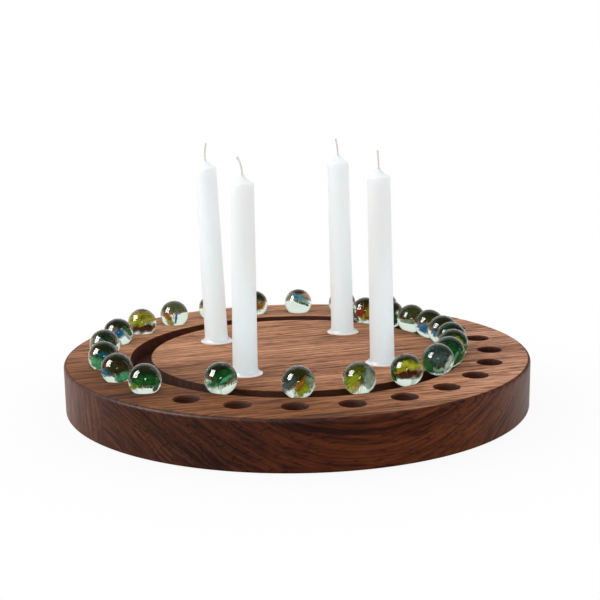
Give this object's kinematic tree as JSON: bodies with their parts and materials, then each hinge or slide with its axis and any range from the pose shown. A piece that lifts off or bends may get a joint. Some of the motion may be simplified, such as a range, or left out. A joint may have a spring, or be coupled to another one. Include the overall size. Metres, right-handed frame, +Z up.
{
  "type": "advent candle holder",
  "caption": "Round wooden advent candle holder: tapers stand in cups at the centre, and glass marbles move from a ring groove to seats round the rim.",
  "frame": {"origin": "centre of the disc's underside, on the surface that it stands on", "axes": "+Z up; +X to the right as pictured; +Y to the back; the grain of the boards runs at 17 degrees to +X"},
  "size_m": [0.2426, 0.2426, 0.1329],
  "materials": {
    "walnut": "oiled",
    "white_enamel": "white enamel",
    "wax": "smooth paraffin wax",
    "wick": "braided cotton",
    "marble_glass": "clear glass with coloured vanes"
  },
  "bodies": {
    "base": {"front_board": "walnut", "middle_board": "walnut", "back_board": "walnut", "candle_cup_1": "white_enamel", "candle_cup_2": "white_enamel", "candle_cup_3": "white_enamel", "candle_cup_4": "white_enamel"},
    "candle_1": {"candle_1": "wax", "wick_1": "wick"},
    "candle_2": {"candle_2": "wax", "wick_2": "wick"},
    "candle_3": {"candle_3": "wax", "wick_3": "wick"},
    "candle_4": {"candle_4": "wax", "wick_4": "wick"},
    "seat_marble_01": {"seat_marble_01": "marble_glass"},
    "seat_marble_02": {"seat_marble_02": "marble_glass"},
    "seat_marble_03": {"seat_marble_03": "marble_glass"},
    "seat_marble_04": {"seat_marble_04": "marble_glass"},
    "seat_marble_05": {"seat_marble_05": "marble_glass"},
    "seat_marble_06": {"seat_marble_06": "marble_glass"},
    "seat_marble_07": {"seat_marble_07": "marble_glass"},
    "seat_marble_08": {"seat_marble_08": "marble_glass"},
    "seat_marble_09": {"seat_marble_09": "marble_glass"},
    "seat_marble_10": {"seat_marble_10": "marble_glass"},
    "seat_marble_11": {"seat_marble_11": "marble_glass"},
    "seat_marble_12": {"seat_marble_12": "marble_glass"},
    "track_marble_01": {"track_marble_01": "marble_glass"},
    "track_marble_02": {"track_marble_02": "marble_glass"},
    "track_marble_03": {"track_marble_03": "marble_glass"},
    "track_marble_04": {"track_marble_04": "marble_glass"},
    "track_marble_05": {"track_marble_05": "marble_glass"},
    "track_marble_06": {"track_marble_06": "marble_glass"},
    "track_marble_07": {"track_marble_07": "marble_glass"},
    "track_marble_08": {"track_marble_08": "marble_glass"},
    "track_marble_09": {"track_marble_09": "marble_glass"},
    "track_marble_10": {"track_marble_10": "marble_glass"},
    "track_marble_11": {"track_marble_11": "marble_glass"},
    "track_marble_12": {"track_marble_12": "marble_glass"},
    "track_marble_13": {"track_marble_13": "marble_glass"}
  },
  "joints": [
    {"name": "candle_1_lift", "type": "slide", "parent": "base", "child": "candle_1", "axis": [-0.0209, 0, 0.9998], "range_m": [0, 0.03]},
    {"name": "candle_2_lift", "type": "slide", "parent": "base", "child": "candle_2", "axis": [-0.0349, 0, 0.9994], "range_m": [0, 0.03]},
    {"name": "candle_3_lift", "type": "slide", "parent": "base", "child": "candle_3", "axis": [0.007, 0, 1], "range_m": [0, 0.03]},
    {"name": "candle_4_lift", "type": "slide", "parent": "base", "child": "candle_4", "axis": [-0.0209, 0, 0.9998], "range_m": [0, 0.03]},
    {"name": "seat_marble_01_lift", "type": "slide", "parent": "base", "child": "seat_marble_01", "axis": [0, 0, 1], "range_m": [0, 0.03]},
    {"name": "seat_marble_02_lift", "type": "slide", "parent": "base", "child": "seat_marble_02", "axis": [0, 0, 1], "range_m": [0, 0.03]},
    {"name": "seat_marble_03_lift", "type": "slide", "parent": "base", "child": "seat_marble_03", "axis": [0, 0, 1], "range_m": [0, 0.03]},
    {"name": "seat_marble_04_lift", "type": "slide", "parent": "base", "child": "seat_marble_04", "axis": [0, 0, 1], "range_m": [0, 0.03]},
    {"name": "seat_marble_05_lift", "type": "slide", "parent": "base", "child": "seat_marble_05", "axis": [0, 0, 1], "range_m": [0, 0.03]},
    {"name": "seat_marble_06_lift", "type": "slide", "parent": "base", "child": "seat_marble_06", "axis": [0, 0, 1], "range_m": [0, 0.03]},
    {"name": "seat_marble_07_lift", "type": "slide", "parent": "base", "child": "seat_marble_07", "axis": [0, 0, 1], "range_m": [0, 0.03]},
    {"name": "seat_marble_08_lift", "type": "slide", "parent": "base", "child": "seat_marble_08", "axis": [0, 0, 1], "range_m": [0, 0.03]},
    {"name": "seat_marble_09_lift", "type": "slide", "parent": "base", "child": "seat_marble_09", "axis": [0, 0, 1], "range_m": [0, 0.03]},
    {"name": "seat_marble_10_lift", "type": "slide", "parent": "base", "child": "seat_marble_10", "axis": [0, 0, 1], "range_m": [0, 0.03]},
    {"name": "seat_marble_11_lift", "type": "slide", "parent": "base", "child": "seat_marble_11", "axis": [0, 0, 1], "range_m": [0, 0.03]},
    {"name": "seat_marble_12_lift", "type": "slide", "parent": "base", "child": "seat_marble_12", "axis": [0, 0, 1], "range_m": [0, 0.03]},
    {"name": "track_marble_01_roll", "type": "hinge", "parent": "base", "child": "track_marble_01", "pos_m": [0, 0, 0.0254], "axis": [0, 0, 1], "range_deg": [-84, 7.5]},
    {"name": "track_marble_02_roll", "type": "hinge", "parent": "base", "child": "track_marble_02", "pos_m": [0, 0, 0.0254], "axis": [0, 0, 1], "range_deg": [-7.5, 4.5]},
    {"name": "track_marble_03_roll", "type": "hinge", "parent": "base", "child": "track_marble_03", "pos_m": [0, 0, 0.0254], "axis": [0, 0, 1], "range_deg": [-4.5, 3.8]},
    {"name": "track_marble_04_roll", "type": "hinge", "parent": "base", "child": "track_marble_04", "pos_m": [0, 0, 0.0254], "axis": [0, 0, 1], "range_deg": [-3.8, 3.5]},
    {"name": "track_marble_05_roll", "type": "hinge", "parent": "base", "child": "track_marble_05", "pos_m": [0, 0, 0.0254], "axis": [0, 0, 1], "range_deg": [-3.5, 84]},
    {"name": "track_marble_06_roll", "type": "hinge", "parent": "base", "child": "track_marble_06", "pos_m": [0, 0, 0.0254], "axis": [0, 0, 1], "range_deg": [-3.5, 84]},
    {"name": "track_marble_07_roll", "type": "hinge", "parent": "base", "child": "track_marble_07", "pos_m": [0, 0, 0.0254], "axis": [0, 0, 1], "range_deg": [-3.5, 84]},
    {"name": "track_marble_08_roll", "type": "hinge", "parent": "base", "child": "track_marble_08", "pos_m": [0, 0, 0.0254], "axis": [0, 0, 1], "range_deg": [-3.5, 84]},
    {"name": "track_marble_09_roll", "type": "hinge", "parent": "base", "child": "track_marble_09", "pos_m": [0, 0, 0.0254], "axis": [0, 0, 1], "range_deg": [-3.5, 84]},
    {"name": "track_marble_10_roll", "type": "hinge", "parent": "base", "child": "track_marble_10", "pos_m": [0, 0, 0.0254], "axis": [0, 0, 1], "range_deg": [-3.5, 84]},
    {"name": "track_marble_11_roll", "type": "hinge", "parent": "base", "child": "track_marble_11", "pos_m": [0, 0, 0.0254], "axis": [0, 0, 1], "range_deg": [-3.5, 84]},
    {"name": "track_marble_12_roll", "type": "hinge", "parent": "base", "child": "track_marble_12", "pos_m": [0, 0, 0.0254], "axis": [0, 0, 1], "range_deg": [-3.5, 84]},
    {"name": "track_marble_13_roll", "type": "hinge", "parent": "base", "child": "track_marble_13", "pos_m": [0, 0, 0.0254], "axis": [0, 0, 1], "range_deg": [-3.5, 84]}
  ],
  "couplings": [
    {"joint": "track_marble_06_roll", "follows": "track_marble_05_roll", "ratio": 1},
    {"joint": "track_marble_07_roll", "follows": "track_marble_05_roll", "ratio": 1},
    {"joint": "track_marble_08_roll", "follows": "track_marble_05_roll", "ratio": 1},
    {"joint": "track_marble_09_roll", "follows": "track_marble_05_roll", "ratio": 1},
    {"joint": "track_marble_10_roll", "follows": "track_marble_05_roll", "ratio": 1},
    {"joint": "track_marble_11_roll", "follows": "track_marble_05_roll", "ratio": 1},
    {"joint": "track_marble_12_roll", "follows": "track_marble_05_roll", "ratio": 1},
    {"joint": "track_marble_13_roll", "follows": "track_marble_05_roll", "ratio": 1}
  ]
}
